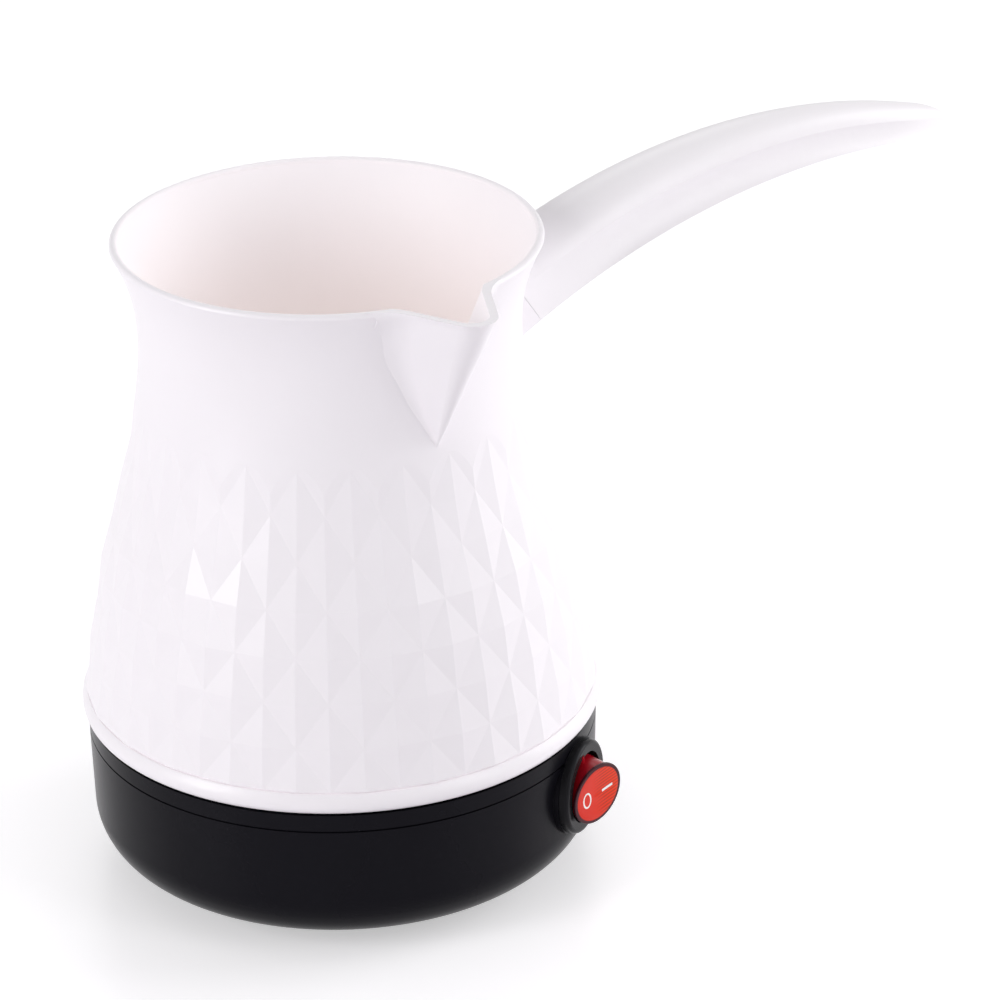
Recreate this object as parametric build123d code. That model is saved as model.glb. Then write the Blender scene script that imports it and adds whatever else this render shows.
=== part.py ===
from build123d import *
from functools import lru_cache
from math import cos, radians, sin, sqrt
import os

# Electric coffee pot: a white moulded pot on a black base that holds its heater, with a long
# handle and a round rocker switch. Millimetres. The origin is the centre of the foot ring, on
# the surface that it stands on. +Z is up, +X runs along the handle and -Y points to the spout.

# Heights from the surface
RIM_Z = 150.7
SEAM_Z = 38.9          # underside of the pot's bead
BEAD_TOP_Z = 43.5
LEDGE_Z = 43.0         # underside of the moulded ledge that the steel floor seals against
FLOOR_Z = 45.4         # top of that ledge, inside the pot

# Pot: radius and height of its outer face from the bead to the lip
BEAD_R = 59.0
WALL = 2.0
LIP_R = WALL / 2       # the lip is a full round
POT_PROFILE = [(58.35, 42.0), (57.6, 49.0), (56.2, 57.5), (53.2, 74.0), (49.7, 87.5), (46.6, 98.0),
               (43.9, 111.0), (42.5, 121.0), (42.2, 130.0), (43.3, 139.0), (45.0, 144.6), (47.3, RIM_Z - LIP_R)]
LEDGE_HOLE_R = 41.0

# Diamonds round the belly: corners sit in the valleys, peaks just under the smooth face
DIAMONDS = 24
HALF_PITCH_Z = 10.0
DIAMOND_ROWS = 7
FIRST_DIAMOND_AZ = 3.75
CORNER_DEPTH = 0.55
PEAK_DEPTH = 0.08
GROOVE_R, GROOVE_LOW_Z, GROOVE_HIGH_Z = 57.1, 43.45, 43.9   # fine groove over the bead

# Spout: a round nose, two straight cheeks and a soft fillet into the neck, all of which shrink
# in step towards a root point low on the neck. The sizes are those at the rim.
NOSE_R = 5.4
NOSE_REACH = 63.5      # from the pot's axis
CHEEK_ANGLE = 26.0     # between each cheek and the spout's centre line
CHEEK_FILLET = 13.0
SPOUT_ROOT_Z = 114.0
SPOUT_ROOT_R = 42.3
SPOUT_WALL = 1.9

# Handle: crest and underside are arcs in the plane y = 0
CREST_R, CREST_X, CREST_Z = 165.0, 115.0, 152.8
UNDER_R, UNDER_X, UNDER_Z = 213.0, 135.0, 139.8
HANDLE_ROOT_X = 36.0
HANDLE_TIP_X = 172.6
HANDLE_ROOT_W = 25.0
HANDLE_TAPER = 0.115   # width lost for each millimetre along the handle
HANDLE_WALL = 2.2
SEAM_POINT = (47.8, 122.4)   # x, z of a point on the joint between bracket and handle
SEAM_TILT = 30.0
HANDLE_SCREW_X = (60.0, 70.0)

# Floor, heater and their clamp
PLATE_TOP_Z = 45.2
PLATE_T = 0.8
PLATE_PAN_R = 40.3
PLATE_RIM_R = 44.2
SEAL_T = 1.0
CLAMP_T = 1.4
CLAMP_BOLT_R = 47.5
CLAMP_AZ = (0, 90, 180, 270)
SPREADER_R, SPREADER_T = 34.0, 3.0
ELEMENT_R, ELEMENT_TUBE_R = 27.0, 3.3
ELEMENT_GAP = 40.0     # angle between the ends of the heater's C, centred on 180 degrees
STRAP_BOLT_Y = 15.5

# Base
BASE_TOP_Z = 38.2
BASE_TOP_R = 57.9
BASE_FLAT_R = 43.0
BASE_BOTTOM_Z = 1.2
BASE_CORNER = (57.25, 8.9)
BASE_ROUND = 12.0
BASE_WALL = 2.2
BAND_Z = 34.1          # fine groove under the base's top band
SLEEVE_AZ = (40, 160, 280)
SLEEVE_R = 5.0
SLEEVE_TOP_Z = 37.6
BOSS_R = 3.2
FOOT_OUTER_R, FOOT_INNER_R = 41.7, 37.7
FOOT_SEAT_Z = 2.6
VENTS = 8

# Round rocker switch: its own frame has z along the way out of the base and y up
SWITCH_AZ = -56.8
SWITCH_FRONT_R = 60.1
SWITCH_Z = 25.7
COLLAR_R, COLLAR_T, OPENING_R = 10.85, 2.2, 8.2
HOUSING_R, HOUSING_DEPTH = 9.8, 16.0
SWITCH_TURN = 12.0     # about its own axis, so that its on side is also the higher one
ROCKER_PIVOT = -0.5
ROCKER_FACE = 3.7
ROCKER_FACE_R, ROCKER_FACE_T = 7.45, 0.7
ROCKER_HALF_L, ROCKER_HALF_W = 6.8, 7.1
ROCKER_SKIRT = -3.4
REST_TILT = 21.0
PLUNGER_REACH = 8.1    # from the pivot to the plunger's tip
LEVER_REST = 9.0
LEVER_PIVOT = -9.75
LEVER_RISE = 12.0
BLADE_W, BLADE_T = 4.8, 0.8
BLADE_X = (-5.0, 0.0, 5.6)
BLADE_END = -24.0

# Cord inlet, at the back under the handle
GLAND_Z = 17.0
GLAND_BORE_R = 3.5
GLAND_IN_X, GLAND_OUT_X = 50.5, 63.0
GLAND_SEAT_X = 56.9    # flat that the grommet's flange lies on


# --- helpers -----------------------------------------------------------------------------------

def rz(points):
    """Points of a (radius, height) outline in the plane y = 0."""
    return [(r, 0, z) for r, z in points]


def turned(points):
    """The solid that a closed (radius, height) polygon sweeps round the axis."""
    return revolve(make_face(Polyline(*rz(points), close=True)), Axis.Z)


def ring(outer, inner, low, high):
    return turned([(inner, low), (outer, low), (outer, high), (inner, high)])


def peg(radius, low, high, x=0.0, y=0.0):
    """A cylinder along Z between two heights."""
    return Pos(x, y, (low + high) / 2) * Cylinder(radius, high - low)


def block(x0, x1, y0, y1, z0, z1):
    return Pos((x0 + x1) / 2, (y0 + y1) / 2, (z0 + z1) / 2) * Box(x1 - x0, y1 - y0, z1 - z0)


def polar(radius, azimuth):
    return radius * cos(radians(azimuth)), radius * sin(radians(azimuth))


def screw(x, y, head_low, head_r, head_h, shank_r, shank_high):
    """A pan-head screw that points up: its slotted head is at the bottom."""
    head = peg(head_r, head_low, head_low + head_h, x, y)
    head = fillet(head.edges().sort_by(Axis.Z)[0], head_h * 0.4)
    slot = block(x - head_r, x + head_r, y - 0.4, y + 0.4, head_low, head_low + head_h * 0.4)
    return head - slot + peg(shank_r, head_low + head_h, shank_high, x, y)


def save(name, *solids):
    shape = solids[0] if len(solids) == 1 else Compound(list(solids))
    export_step(shape, f"parts/{name}.step")


# --- pot ---------------------------------------------------------------------------------------

pot_curve = Spline(*rz(POT_PROFILE))


@lru_cache(None)
def pot_radius(z):
    """Radius of the smooth outer face at a height."""
    low, high = 0.0, 1.0
    for _ in range(40):
        middle = (low + high) / 2
        if (pot_curve @ middle).Z < z:
            low = middle
        else:
            high = middle
    return (pot_curve @ low).X


def lip_round(radius, z, side):
    """A quarter of the lip's round, from its outer (side 1) or inner (side -1) face to its top."""
    centre = radius - side * LIP_R
    half = LIP_R / sqrt(2)
    return ThreePointArc((radius, 0, z), (centre + side * half, 0, z + half), (centre, 0, z + LIP_R))


def smooth_pot():
    """The pot as a solid of revolution, with its lip's outer half round."""
    lip_r, lip_z = POT_PROFILE[-1]
    top = lip_round(lip_r, lip_z, 1)
    close = Polyline((lip_r - LIP_R, 0, RIM_Z), (0, 0, RIM_Z), (0, 0, POT_PROFILE[0][1]), rz(POT_PROFILE)[0])
    return revolve(make_face(pot_curve + top + close), Axis.Z)


def lattice_point(row, column):
    """A corner or a peak of the diamonds; odd sums of row and column are corners."""
    z = BEAD_TOP_Z + row * HALF_PITCH_Z
    corner = (row + column) % 2 == 1
    if row > DIAMOND_ROWS:
        offset = 1.2                         # clear of the smooth neck
    elif row == DIAMOND_ROWS:
        offset = -0.03 if corner else 0.3    # the last tips fade into it
    elif row == DIAMOND_ROWS - 1:
        offset = -0.4 if corner else -PEAK_DEPTH
    else:
        offset = -CORNER_DEPTH if corner else -PEAK_DEPTH
    radius = pot_radius(z) + offset
    x, y = polar(radius, FIRST_DIAMOND_AZ + column * 180 / DIAMONDS)
    return Vector(x, y, z)


def diamond_blank():
    """A closed polyhedron with the diamonds on its side, wider than the pot above them."""
    columns = 2 * DIAMONDS
    rows = DIAMOND_ROWS + 1
    grid = [[lattice_point(k, i) for i in range(columns)] for k in range(rows + 1)]
    rim_ring = [Vector(*polar(BEAD_R + 2, FIRST_DIAMOND_AZ + i * 180 / DIAMONDS), RIM_Z + 4)
                for i in range(columns)]
    faces = [Face(Wire.make_polygon(grid[0], close=True)), Face(Wire.make_polygon(rim_ring, close=True))]
    for i in range(columns):
        j = (i + 1) % columns
        for k in range(rows):
            a, b, c, d = grid[k][i], grid[k][j], grid[k + 1][j], grid[k + 1][i]
            pairs = [(a, b, c), (a, c, d)] if (k + i) % 2 == 1 else [(a, b, d), (b, c, d)]
            faces += [Face(Wire.make_polygon(list(p), close=True)) for p in pairs]
        a, b, c, d = grid[rows][i], grid[rows][j], rim_ring[j], rim_ring[i]
        faces += [Face(Wire.make_polygon([a, b, c], close=True)), Face(Wire.make_polygon([a, c, d], close=True))]
    return Solid(Shell(faces))


def spout_section(z, neck_r, reach, nose_r, fillet_r, shift=0.0):
    """Closed outline at a height: nose, cheeks, fillets that touch the neck's circle, and a chord inside."""
    across, along = sin(radians(CHEEK_ANGLE)), cos(radians(CHEEK_ANGLE))
    centre = reach - nose_r
    off = centre * across + nose_r                       # the cheek's distance from the pot's axis
    run = sqrt((neck_r + fillet_r) ** 2 - (off + fillet_r) ** 2)
    middle = ((off + fillet_r) * across + run * along, (off + fillet_r) * along - run * across)
    on_cheek = (off * across + run * along, off * along - run * across)
    on_neck = tuple(v * neck_r / (neck_r + fillet_r) for v in middle)
    mean = tuple((a + b) / 2 - c for a, b, c in zip(on_cheek, on_neck, middle))
    size = sqrt(mean[0] ** 2 + mean[1] ** 2)
    bend = tuple(c + m * fillet_r / size for c, m in zip(middle, mean))
    touch = (centre + nose_r * across, nose_r * along)
    inner = tuple(v * (neck_r - 3) / neck_r for v in on_neck)

    def at(point, side):
        return side * point[1], shift - point[0], z

    return make_face([
        Line(at(inner, 1), at(on_neck, 1)),
        ThreePointArc(at(on_neck, 1), at(bend, 1), at(on_cheek, 1)),
        Line(at(on_cheek, 1), at(touch, 1)),
        ThreePointArc(at(touch, 1), at((reach, 0), 1), at(touch, -1)),
        Line(at(touch, -1), at(on_cheek, -1)),
        ThreePointArc(at(on_cheek, -1), at(bend, -1), at(on_neck, -1)),
        Line(at(on_neck, -1), at(inner, -1)),
        Line(at(inner, -1), at(inner, 1)),
    ])


def spout(inset=0.0, top=RIM_Z):
    """The spout's outside as a solid, or with an inset the room inside it."""
    sections = []
    heights = (116.2, 119, 123, 128, 134, 140, 145, top) if not inset else (121, 124, 128, 134, 140, 145, top)
    for z in heights:
        grown = (z - SPOUT_ROOT_Z) / (RIM_Z - SPOUT_ROOT_Z)
        reach = SPOUT_ROOT_R + (NOSE_REACH - SPOUT_ROOT_R) * grown - 1.15 * inset
        nose_r = max(NOSE_R * grown - inset, 0.5 * grown + 0.2)
        fillet_r = CHEEK_FILLET * grown + 0.8 * inset
        neck_r = pot_radius(min(z, POT_PROFILE[-1][1])) - (WALL if inset else 0.15)
        if z == heights[0]:
            shift = 0.8
            sections.append(spout_section(z - 1.6, neck_r, reach, nose_r, fillet_r, shift))
        sections.append(spout_section(z, neck_r, reach, nose_r, fillet_r))
    return loft(sections)


def pot_cavity():
    """The inside of the pot, from the ledge to the flared inner half of the lip."""
    r_low = pot_radius(FLOOR_Z) - CORNER_DEPTH - WALL
    inner = [(r - WALL, z) for r, z in POT_PROFILE if z > 50]
    inner[0] = (inner[0][0] - CORNER_DEPTH * 0.6, inner[0][1])
    inner[1] = (inner[1][0] - CORNER_DEPTH * 0.6, inner[1][1])
    inner[2] = (inner[2][0] - CORNER_DEPTH * 0.5, inner[2][1])
    curve = Spline(*rz([(r_low - 0.4, FLOOR_Z + 3)] + inner))
    lip_r, lip_z = inner[-1]
    flare = lip_round(lip_r, lip_z, -1)
    corner = ThreePointArc((r_low - 3.4, 0, FLOOR_Z), (r_low - 1.3, 0, FLOOR_Z + 0.9), (r_low - 0.4, 0, FLOOR_Z + 3))
    rest = Polyline((lip_r + LIP_R, 0, RIM_Z), (lip_r + LIP_R, 0, RIM_Z + 5), (0, 0, RIM_Z + 5),
                    (0, 0, FLOOR_Z), (r_low - 3.4, 0, FLOOR_Z))
    return revolve(make_face(corner + curve + flare + rest), Axis.Z)


def bead():
    """The rounded bead at the pot's foot, the ledge inside it and the skirt for the base's spigot."""
    skirt_r = BEAD_R - 2.2
    side = Spline(*rz([(BEAD_R - 1.0, SEAM_Z), (BEAD_R - 0.1, SEAM_Z + 1.3), (BEAD_R - 0.3, SEAM_Z + 3.2),
                       (BEAD_R - 1.6, BEAD_TOP_Z + 0.35)]))
    rest = Polyline(*rz([(BEAD_R - 1.6, BEAD_TOP_Z + 0.35), (LEDGE_HOLE_R, BEAD_TOP_Z + 0.35),
                         (LEDGE_HOLE_R, LEDGE_Z), (skirt_r, LEDGE_Z), (skirt_r, SEAM_Z), (BEAD_R - 1.0, SEAM_Z)]))
    return revolve(make_face(side + rest), Axis.Z)


def screw_bosses():
    """Pegs under the ledge for the clamp's and the base's screws, and the holes up each of them."""
    pegs, holes = [], []
    for low, angles in ((LEDGE_Z - SEAL_T - PLATE_T, CLAMP_AZ), (SLEEVE_TOP_Z, SLEEVE_AZ)):
        for azimuth in angles:
            x, y = polar(CLAMP_BOLT_R, azimuth)
            pegs.append(peg(BOSS_R, low, LEDGE_Z + 0.4, x, y))
            holes.append(peg(1.3, low, FLOOR_Z - 0.8, x, y))
    return pegs, holes


def pot_body(handle_blank):
    pegs, holes = screw_bosses()
    bracket = handle_blank & behind_seam()
    pot = smooth_pot() & diamond_blank()
    pot += [bead(), spout(), bracket, handle_tongue(), *pegs]
    holes += [peg(1.3, under_z(x), under_z(x) + 9.6, x) for x in HANDLE_SCREW_X]
    groove = ring(BEAD_R + 2, GROOVE_R, GROOVE_LOW_Z, GROOVE_HIGH_Z)
    room = spout(SPOUT_WALL, RIM_Z + 1)
    pot -= [pot_cavity(), room, groove, peg(LEDGE_HOLE_R, LEDGE_Z - 1, FLOOR_Z + 1), *holes]
    return pot


# --- handle ------------------------------------------------------------------------------------

def crest_z(x):
    return CREST_Z - (CREST_R - sqrt(CREST_R**2 - (x - CREST_X) ** 2))


def under_z(x):
    return UNDER_Z - (UNDER_R - sqrt(UNDER_R**2 - (x - UNDER_X) ** 2))


def rounding(x, start, end):
    """1 up to start, then a quarter ellipse that falls to 0 at end."""
    return 1.0 if x <= start else sqrt(max(0.0, 1 - ((x - start) / (end - start)) ** 2))


def handle_size(x):
    """Half width, foot height and full height of the handle's section at x."""
    half = (HANDLE_ROOT_W - HANDLE_TAPER * (x - HANDLE_ROOT_X)) / 2 * rounding(x, 150, HANDLE_TIP_X + 0.15)
    height = (crest_z(x) - under_z(x)) * rounding(x, 165, HANDLE_TIP_X + 0.15)
    middle = (crest_z(x) + under_z(x)) / 2
    return half, middle - height / 2, height


def handle_section(x):
    """Roof, a scooped cheek each side below the crease, and a flat foot."""
    half, foot, height = handle_size(x)
    crease_y, crease_z = 0.8 * half, foot + 0.6 * height
    edge_y, edge_z = half, foot + 0.07 * height
    fade = min(1.0, max(0.05, (x - 50) / 30)) * min(1.0, max(0.1, (HANDLE_TIP_X - 4 - x) / 25))
    scoop = 0.09 * height * fade
    mid_y, mid_z = (crease_y + edge_y) / 2 - scoop, (crease_z + edge_z) / 2 - 0.1 * scoop
    roof = ThreePointArc((x, -crease_y, crease_z), (x, 0, foot + height), (x, crease_y, crease_z))
    right = ThreePointArc((x, crease_y, crease_z), (x, mid_y, mid_z), (x, edge_y, edge_z))
    bottom = ThreePointArc((x, edge_y, edge_z), (x, 0, foot - 0.02 * height), (x, -edge_y, edge_z))
    left = ThreePointArc((x, -edge_y, edge_z), (x, -mid_y, mid_z), (x, -crease_y, crease_z))
    return make_face(roof + right + bottom + left)


def handle_solid():
    stations = (HANDLE_ROOT_X, 48, 60, 75, 90, 105, 120, 135, 148, 158, 165, 169, 171.4, HANDLE_TIP_X)
    return loft([handle_section(x) for x in stations])


def void_section(x, gap):
    half, foot, height = handle_size(x)
    y = 0.8 * half - HANDLE_WALL * 0.75 - gap
    top, shoulder = foot + height - HANDLE_WALL, foot + 0.55 * height
    roof = ThreePointArc((x, -y, shoulder), (x, 0, top), (x, y, shoulder))
    sides = Polyline((x, y, shoulder), (x, y, foot - 3), (x, -y, foot - 3), (x, -y, shoulder))
    return make_face(roof + sides)


def handle_void(gap=0.0):
    """The hollow of the handle, open below."""
    return loft([void_section(x, gap) for x in (HANDLE_ROOT_X - 2, 60, 90, 120, 145, 158)])


def under_band(low, high, x0, x1, half_y):
    """A slab that follows the handle's underside between two heights above it."""
    def arc(lift):
        xs = (x0, (x0 + x1) / 2, x1)
        return [(x, -half_y, under_z(x) + lift) for x in xs]

    bottom, top = arc(low), arc(high)
    outline = ThreePointArc(*bottom) + Line(bottom[2], top[2]) + ThreePointArc(*top[::-1]) + Line(top[0], bottom[0])
    return extrude(make_face(outline), 2 * half_y, dir=(0, 1, 0))


def behind_seam(gap=0.0):
    """Everything on the pot's side of the joint between bracket and handle."""
    x, z = SEAM_POINT
    plane = Plane(origin=(x + gap, 0, z), z_dir=(cos(radians(SEAM_TILT)), 0, sin(radians(SEAM_TILT))))
    return plane.location * Pos(0, 0, -50) * Box(200, 60, 100)


def handle_tongue(gap=0.0):
    """The bar of the pot's bracket that the handle slides over."""
    xs = (41.5, 75.0)
    low = [(x, 0, under_z(x) + 4.4 - gap) for x in xs]
    high = [(x, 0, crest_z(x) - 5.4) for x in reversed(xs)]
    return extrude(make_face(Polyline(*low, *high, close=True)), 5.0, both=True)


def handle_shell(blank):
    shell = blank - behind_seam(0.08)
    shell -= turned([(0, 100), (pot_radius(100) + 0.1, 100)] +
                    [(r + 0.1, z) for r, z in POT_PROFILE if z > 100] + [(0, POT_PROFILE[-1][1])])
    shell -= handle_void()
    for x in (86, 104, 122, 140):
        rib = block(x - 0.8, x + 0.8, -12, 12, 100, 160) & handle_void()
        shell += rib & under_band(2.4, 30, x - 2, x + 2, 12)
    return shell


def handle_cover():
    cover = under_band(0.4, 2.2, 56, 156, 14) & handle_void(0.12)
    for x in HANDLE_SCREW_X:
        cover += peg(3.8, under_z(x) + 1.2, under_z(x) + 6.0, x) & handle_void(0.12)
        cover -= peg(2.9, under_z(x) - 3, under_z(x) + 2.0, x)
        cover -= peg(1.6, under_z(x), under_z(x) + 7, x)
    return cover - handle_tongue(0.02)


# --- floor and heater --------------------------------------------------------------------------

PLATE_RIM_TOP_Z = LEDGE_Z - SEAL_T
CLAMP_TOP_Z = PLATE_RIM_TOP_Z - PLATE_T
SPREADER_LOW_Z = PLATE_TOP_Z - PLATE_T - SPREADER_T
ELEMENT_Z = SPREADER_LOW_Z - ELEMENT_TUBE_R
STRAP_Z = SPREADER_LOW_Z - 3.1

TAB_W = 6.3            # blades of the heater and the thermostat
TAB_END_Z = ELEMENT_Z - 22
THERMOSTAT_BLADE_X, THERMOSTAT_BLADE_END_Z = 3.6, STRAP_Z - 17
FUSE_X, FUSE_Z, FUSE_WIRE_Y = 15.0, STRAP_Z - 3.2, 10.5


def heating_plate():
    """A shallow pan, upside down, whose rim is pressed up against the seal."""
    low, top = CLAMP_TOP_Z, PLATE_TOP_Z
    plate = turned([(0, top - PLATE_T), (PLATE_PAN_R - PLATE_T, top - PLATE_T), (PLATE_PAN_R - PLATE_T, low),
                    (PLATE_RIM_R, low), (PLATE_RIM_R, low + PLATE_T), (PLATE_PAN_R, low + PLATE_T),
                    (PLATE_PAN_R, top), (0, top)])
    return fillet(plate.edges().filter_by(GeomType.CIRCLE).group_by(Axis.Z)[-1], 0.7)


def plate_seal():
    """Its flat leg lies under the ledge, its lip fills the gap round the pan."""
    return turned([(PLATE_PAN_R, PLATE_RIM_TOP_Z), (PLATE_RIM_R, PLATE_RIM_TOP_Z), (PLATE_RIM_R, LEDGE_Z),
                   (LEDGE_HOLE_R, LEDGE_Z), (LEDGE_HOLE_R, FLOOR_Z - 0.9), (PLATE_PAN_R, FLOOR_Z - 0.9)])


def clamp_ring():
    low = CLAMP_TOP_Z - CLAMP_T
    clamp = ring(PLATE_RIM_R - 0.3, 40.6, low, CLAMP_TOP_Z)
    for azimuth in CLAMP_AZ:
        ear = Rot(0, 0, azimuth) * (block(43, CLAMP_BOLT_R, -3.6, 3.6, low, CLAMP_TOP_Z)
                                    + peg(3.6, low, CLAMP_TOP_Z, CLAMP_BOLT_R))
        clamp += ear - Rot(0, 0, azimuth) * peg(1.7, low - 1, CLAMP_TOP_Z + 1, CLAMP_BOLT_R)
    for azimuth in CLAMP_AZ:
        clamp -= Rot(0, 0, azimuth) * peg(1.7, low - 1, CLAMP_TOP_Z + 1, CLAMP_BOLT_R)
    return clamp


def clamp_screws():
    low = CLAMP_TOP_Z - CLAMP_T
    return [screw(*polar(CLAMP_BOLT_R, a), low - 1.8, 2.8, 1.8, 1.25, FLOOR_Z - 1.0) for a in CLAMP_AZ]


def heat_spreader():
    disc = peg(SPREADER_R, SPREADER_LOW_Z, SPREADER_LOW_Z + SPREADER_T)
    for y in (-STRAP_BOLT_Y, STRAP_BOLT_Y):
        disc += peg(3.2, STRAP_Z, SPREADER_LOW_Z, 0, y)
        disc -= peg(1.25, STRAP_Z, SPREADER_LOW_Z + 1.5, 0, y)
    return disc


def element_ends():
    return [polar(ELEMENT_R, 180 + side * ELEMENT_GAP / 2) for side in (-1, 1)]


def heating_element():
    """A C of steel tube whose two ends turn down."""
    section = Pos(ELEMENT_R, 0, ELEMENT_Z) * Rot(90, 0, 0) * Circle(ELEMENT_TUBE_R)
    half_gap = ELEMENT_GAP / 2
    coil = Rot(0, 0, 180 + half_gap) * revolve(section, Axis.Z, 360 - ELEMENT_GAP)
    for x, y in element_ends():
        coil += Pos(x, y, ELEMENT_Z) * Sphere(ELEMENT_TUBE_R)
        coil += peg(ELEMENT_TUBE_R, ELEMENT_Z - 9, ELEMENT_Z, x, y)
    return coil


def element_fittings():
    """Ceramic beads and terminal pins with their tabs, one of each at each end of the heater."""
    low = ELEMENT_Z - 9
    beads, pins = [], []
    for x, y in element_ends():
        beads.append(peg(2.6, low - 3, low, x, y) - peg(1.5, low - 3, low, x, y))
        tab = block(x - 0.4, x + 0.4, y - TAB_W / 2, y + TAB_W / 2, TAB_END_Z, low - 5)
        hole = Pos(x, y, low - 10.4) * Rot(0, 90, 0) * Cylinder(0.9, 2)
        pins.append(peg(1.45, low - 6.5, low, x, y) + tab - hole)
    return beads, pins


def thermostat():
    cap = peg(8.2, STRAP_Z, SPREADER_LOW_Z) - peg(7.4, STRAP_Z, STRAP_Z + 2)
    body = peg(7.4, STRAP_Z - 6.5, STRAP_Z + 2) - peg(5.6, STRAP_Z - 6.5, STRAP_Z - 4.5)
    end = THERMOSTAT_BLADE_END_Z
    blades = [block(x - 0.4, x + 0.4, -TAB_W / 2, TAB_W / 2, end, STRAP_Z - 4.5)
              - Pos(x, 0, end + 3) * Rot(0, 90, 0) * Cylinder(0.9, 2)
              for x in (-THERMOSTAT_BLADE_X, THERMOSTAT_BLADE_X)]
    return cap, body, blades


def thermostat_bracket():
    """A sprung steel strap round the thermostat, with an arm over the fuse."""
    low = STRAP_Z - 1.0
    strap = block(-4, 4, -STRAP_BOLT_Y, STRAP_BOLT_Y, low, STRAP_Z) + peg(11, low, STRAP_Z)
    strap += block(0, 19, -4, 4, low, STRAP_Z)
    for y in (-STRAP_BOLT_Y, STRAP_BOLT_Y):
        strap += peg(4, low, STRAP_Z, 0, y)
    strap -= peg(7.45, low - 1, STRAP_Z + 1)
    for y in (-STRAP_BOLT_Y, STRAP_BOLT_Y):
        strap -= peg(1.6, low - 1, STRAP_Z + 1, 0, y)
    return strap


def thermal_fuse():
    """A sleeved fuse that lies under the strap's arm, with its two wires."""
    sleeve = Pos(FUSE_X, 0, FUSE_Z) * Rot(90, 0, 0) * Cylinder(2.2, 13)
    wires = Pos(FUSE_X, 0, FUSE_Z) * Rot(90, 0, 0) * Cylinder(0.5, 2 * FUSE_WIRE_Y)
    return fillet(sleeve.edges().filter_by(GeomType.CIRCLE), 0.6) + wires


def earth_tab():
    """A blade under the clamp ring, with the foot that is spot-welded to it."""
    low = CLAMP_TOP_Z - CLAMP_T
    tab = block(41.4, 44.2, -3.15, 3.15, low - 0.8, low) + block(41.4, 42.2, -3.15, 3.15, low - 10, low)
    return Rot(0, 0, 135) * (tab - Pos(42, 0, low - 7.4) * Rot(0, 90, 0) * Cylinder(0.9, 4))


# --- base --------------------------------------------------------------------------------------

def base_blank(inset):
    """The solid inside the base's outer face, or inside its inner face with an inset."""
    lift = inset
    corner_r, corner_z = BASE_CORNER
    side = FilletPolyline((BASE_FLAT_R - 0.4 * inset, 0, BASE_BOTTOM_Z + lift),
                          (corner_r - inset, 0, corner_z + 0.6 * inset),
                          (BASE_TOP_R - inset, 0, BASE_TOP_Z), radius=BASE_ROUND - inset)
    rest = Polyline((BASE_TOP_R - inset, 0, BASE_TOP_Z), (0, 0, BASE_TOP_Z), (0, 0, BASE_BOTTOM_Z + lift),
                    (BASE_FLAT_R - 0.4 * inset, 0, BASE_BOTTOM_Z + lift))
    return revolve(make_face(side + rest), Axis.Z)


def switch_plane():
    x, y = polar(1, SWITCH_AZ)
    origin = (SWITCH_FRONT_R * x, SWITCH_FRONT_R * y, SWITCH_Z)
    level, rise = polar(1, SWITCH_TURN)
    return Plane(origin=origin, x_dir=(-y * level, x * level, rise), z_dir=(x, y, 0))


def on_switch(shape):
    """Moves a shape from the switch's own frame to its place in the base."""
    return switch_plane().location * shape


def sleeve(azimuth):
    """A tall sleeve that a base screw is reached through from below."""
    x, y = polar(CLAMP_BOLT_R, azimuth)
    return peg(SLEEVE_R, 0, SLEEVE_TOP_Z, x, y)


def sleeve_bore(azimuth):
    x, y = polar(CLAMP_BOLT_R, azimuth)
    return peg(3.5, 0, SLEEVE_TOP_Z - 2.2, x, y) + peg(1.9, 0, SLEEVE_TOP_Z, x, y)


def cord_saddle():
    """The block on the base's floor that the cord lies in, with a post each side."""
    saddle = block(40, 48, -12, 12, 2, GLAND_Z - 3)
    for side in (-1, 1):
        saddle += block(40, 48, min(side * 6, side * 12), max(side * 6, side * 12), 2, GLAND_Z + 2)
        saddle -= peg(1.2, GLAND_Z - 8, GLAND_Z + 2, 44, side * 9)
    return saddle


def base_cup():
    outer = base_blank(0)
    cup = outer - base_blank(BASE_WALL)
    seat = on_switch(Pos(0, 0, -COLLAR_T - 4) * Cylinder(COLLAR_R + 0.3, 8))
    cup += seat - base_blank(BASE_WALL)
    for azimuth in SLEEVE_AZ:
        cup += sleeve(azimuth) & outer
        cup -= sleeve_bore(azimuth)
    cup += cord_saddle() & outer
    spigot = ring(BEAD_R - 2.4, BEAD_R - 4.6, BASE_TOP_Z - 3, SEAM_Z + 2.6)
    cup += spigot
    cup -= ring(BASE_TOP_R + 2, BASE_TOP_R - 0.5, BAND_Z - 0.2, BAND_Z + 0.2)
    cup -= ring(FOOT_OUTER_R, FOOT_INNER_R, 0, FOOT_SEAT_Z)
    cup -= on_switch(Pos(0, 0, -10) * Cylinder(HOUSING_R + 0.1, 20))
    cup -= Pos(55, 0, GLAND_Z) * Rot(0, 90, 0) * Cylinder(5.65, 12)
    cup -= Pos(GLAND_SEAT_X + 3, 0, GLAND_Z) * Rot(0, 90, 0) * Cylinder(7.8, 6)
    for i in range(VENTS):
        slot = extrude(Pos(20, 0, 0) * SlotOverall(14, 3), 6)
        cup -= Rot(0, 0, 22.5 + i * 360 / VENTS) * slot
    return cup


def base_screws():
    return [screw(*polar(CLAMP_BOLT_R, a), SLEEVE_TOP_Z - 4.2, 2.8, 2.0, 1.25, FLOOR_Z - 1.0) for a in SLEEVE_AZ]


def foot_ring():
    foot = ring(FOOT_OUTER_R, FOOT_INNER_R, 0, FOOT_SEAT_Z)
    return fillet(foot.edges().filter_by(GeomType.CIRCLE).group_by(Axis.Z)[0], 0.6)


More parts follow.
